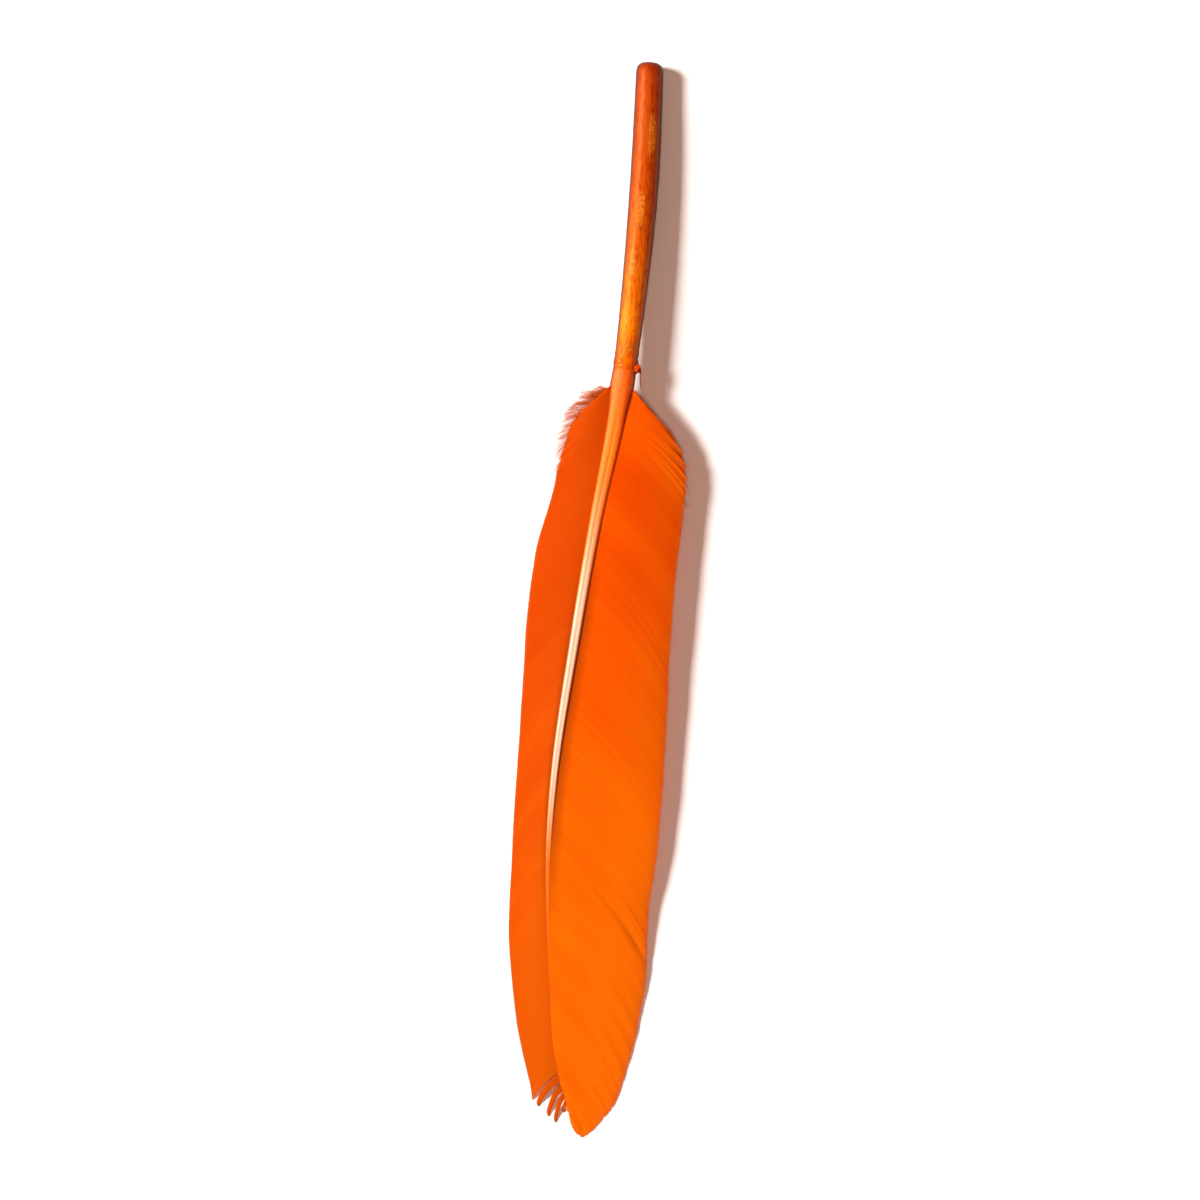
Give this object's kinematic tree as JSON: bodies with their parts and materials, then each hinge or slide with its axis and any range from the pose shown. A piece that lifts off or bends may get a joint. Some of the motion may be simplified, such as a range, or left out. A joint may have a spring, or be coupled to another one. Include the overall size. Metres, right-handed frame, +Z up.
{
  "type": "goose quill feather",
  "caption": "Orange-dyed goose quill feather lying back up: bare tubular quill, tapering stem, a narrow and a wide vane of barbs, loose down at the vane's foot.",
  "frame": {"origin": "on the surface it lies on, below the middle of the feather's bounding box", "axes": "+Y from the tip to the quill end, along the feather; +X to the wide vane's side; +Z up out of the feather's back"},
  "size_m": [0.0247, 0.1751, 0.0066],
  "materials": {
    "quill": "dyed keratin, smooth and slightly see-through, glossy on the stem",
    "vane": "dyed feather barbs zipped into a smooth satin web",
    "down": "dyed loose down, soft and see-through at its ends"
  },
  "bodies": {
    "root": {"shaft": "quill", "leading_vane": "vane", "trailing_vane": "vane", "leading_down": "down", "trailing_down": "down"}
  },
  "joints": []
}
